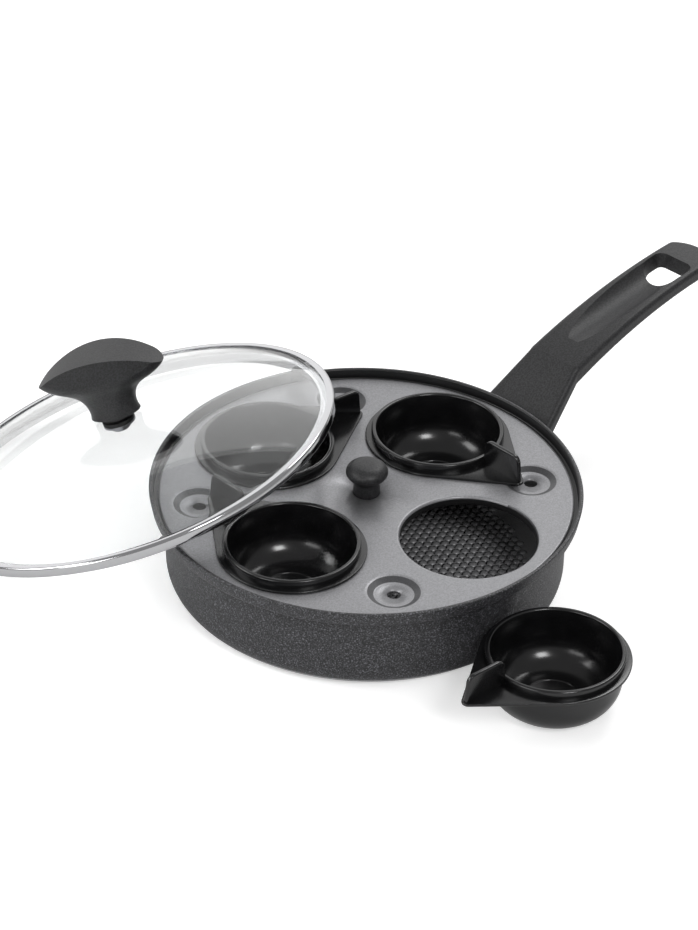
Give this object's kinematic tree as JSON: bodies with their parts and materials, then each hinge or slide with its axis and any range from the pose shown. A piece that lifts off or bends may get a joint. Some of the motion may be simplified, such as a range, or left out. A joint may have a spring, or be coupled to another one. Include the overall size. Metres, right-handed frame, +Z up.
{
  "type": "egg poacher pan",
  "caption": "Shallow round pan with a long handle, a drop-in tray holding lift-out poaching cups with tabs, and a domed glass lid with a steel rim leaning on it.",
  "frame": {"origin": "centre of the pan's base, on the surface it stands on", "axes": "+Z up, +X along the handle away from the pan"},
  "size_m": [0.4032, 0.3771, 0.0967],
  "materials": {
    "pan_body": "speckled non-stick coating, satin",
    "base_plate": "brushed",
    "handle": "fine moulded texture, matt",
    "handle_bracket": "pressed, plain",
    "handle_screw": "plain",
    "poacher_tray": "non-stick coating, satin grey",
    "tray_knob": "moulded, matt",
    "tray_knob_insert": "turned",
    "tray_washer": "plain",
    "tray_screw": "plain",
    "egg_cup_1": "moulded, glossy",
    "egg_cup_2": "moulded, glossy",
    "egg_cup_3": "moulded, glossy",
    "egg_cup_4": "moulded, glossy",
    "lid_rim": "polished",
    "lid_glass": "clear, tempered",
    "lid_knob": "fine moulded texture, matt",
    "lid_knob_insert": "turned",
    "lid_seat_top": "silicone, matt",
    "lid_seat_bottom": "silicone, matt",
    "lid_washer": "plain",
    "lid_screw": "plain"
  },
  "bodies": {
    "pan": {"pan_body": "pan_body", "base_plate": "base_plate", "handle": "handle", "handle_bracket": "handle_bracket", "handle_screw": "handle_screw"},
    "tray": {"poacher_tray": "poacher_tray", "tray_knob": "tray_knob", "tray_knob_insert": "tray_knob_insert", "tray_washer": "tray_washer", "tray_screw": "tray_screw"},
    "cup_1": {"egg_cup_1": "egg_cup_1"},
    "cup_2": {"egg_cup_2": "egg_cup_2"},
    "cup_3": {"egg_cup_3": "egg_cup_3"},
    "cup_4": {"egg_cup_4": "egg_cup_4"},
    "lid": {"lid_rim": "lid_rim", "lid_glass": "lid_glass", "lid_knob": "lid_knob", "lid_knob_insert": "lid_knob_insert", "lid_seat_top": "lid_seat_top", "lid_seat_bottom": "lid_seat_bottom", "lid_washer": "lid_washer", "lid_screw": "lid_screw"}
  },
  "joints": [
    {"name": "tray_lift", "type": "slide", "parent": "pan", "child": "tray", "axis": [0, 0, 1], "range_m": [0, 0.1]},
    {"name": "cup_1_lift", "type": "slide", "parent": "tray", "child": "cup_1", "axis": [0, 0, 1], "range_m": [0, 0.06]},
    {"name": "cup_2_lift", "type": "slide", "parent": "tray", "child": "cup_2", "axis": [0, 0, 1], "range_m": [0, 0.06]},
    {"name": "cup_3_lift", "type": "slide", "parent": "tray", "child": "cup_3", "axis": [0, 0, 1], "range_m": [0, 0.004]},
    {"name": "cup_4_lift", "type": "slide", "parent": "pan", "child": "cup_4", "axis": [-0.0678, -0.7039, 0.7071], "range_m": [0, 0.06]},
    {"name": "lid_lift", "type": "slide", "parent": "cup_2", "child": "lid", "axis": [-0.1385, 0.2983, 0.9444], "range_m": [0, 0.15]}
  ]
}
